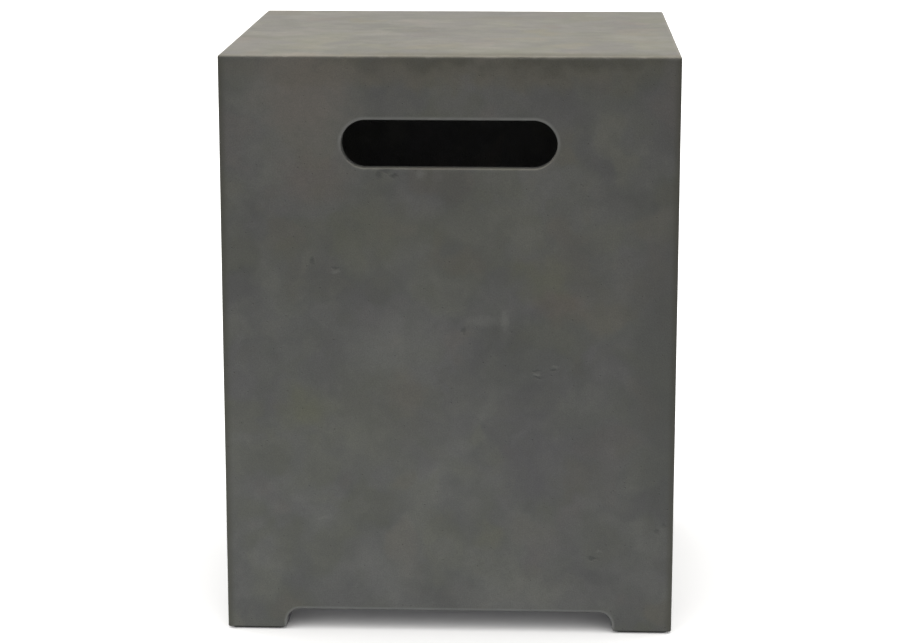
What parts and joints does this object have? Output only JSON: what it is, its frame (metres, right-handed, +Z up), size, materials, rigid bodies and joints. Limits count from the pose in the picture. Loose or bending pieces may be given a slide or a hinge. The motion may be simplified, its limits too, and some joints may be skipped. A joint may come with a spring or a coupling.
{
  "type": "propane tank cover table",
  "caption": "Square concrete-look side table, open underneath, that stands over a propane tank, with hand slots near the top and a notch between the feet for the gas hose.",
  "frame": {"origin": "centre of the underside, on the ground plane under the rubber feet", "axes": "+Z up, -Y towards the pictured front with its hand slot, +X to the right seen from that front"},
  "size_m": [0.4, 0.4, 0.52],
  "materials": {
    "cast_cement": "matt cast cement, sealed, softly clouded grey",
    "frame_steel": "black powder coat, fine texture",
    "zinc_screw": "bright zinc plate",
    "insert_brass": "turned brass",
    "foot_rubber": "matt black moulded rubber"
  },
  "bodies": {
    "root": {"back_panel": "cast_cement", "back_panel_inserts": "insert_brass", "back_panel_screws": "zinc_screw", "bottom_tie_back": "frame_steel", "bottom_tie_front": "frame_steel", "bottom_tie_left": "frame_steel", "bottom_tie_right": "frame_steel", "corner_upright_back_left": "frame_steel", "corner_upright_back_right": "frame_steel", "corner_upright_front_left": "frame_steel", "corner_upright_front_right": "frame_steel", "foot_pad_back_left": "foot_rubber", "foot_pad_back_right": "foot_rubber", "foot_pad_front_left": "foot_rubber", "foot_pad_front_right": "foot_rubber", "foot_plate_back_left": "frame_steel", "foot_plate_back_right": "frame_steel", "foot_plate_front_left": "frame_steel", "foot_plate_front_right": "frame_steel", "front_panel": "cast_cement", "front_panel_inserts": "insert_brass", "front_panel_screws": "zinc_screw", "left_panel": "cast_cement", "left_panel_inserts": "insert_brass", "left_panel_screws": "zinc_screw", "right_panel": "cast_cement", "right_panel_inserts": "insert_brass", "right_panel_screws": "zinc_screw", "top_panel": "cast_cement", "top_panel_inserts": "insert_brass", "top_panel_screws": "zinc_screw", "top_rail_back": "frame_steel", "top_rail_front": "frame_steel", "top_rail_left": "frame_steel", "top_rail_right": "frame_steel"}
  },
  "joints": []
}
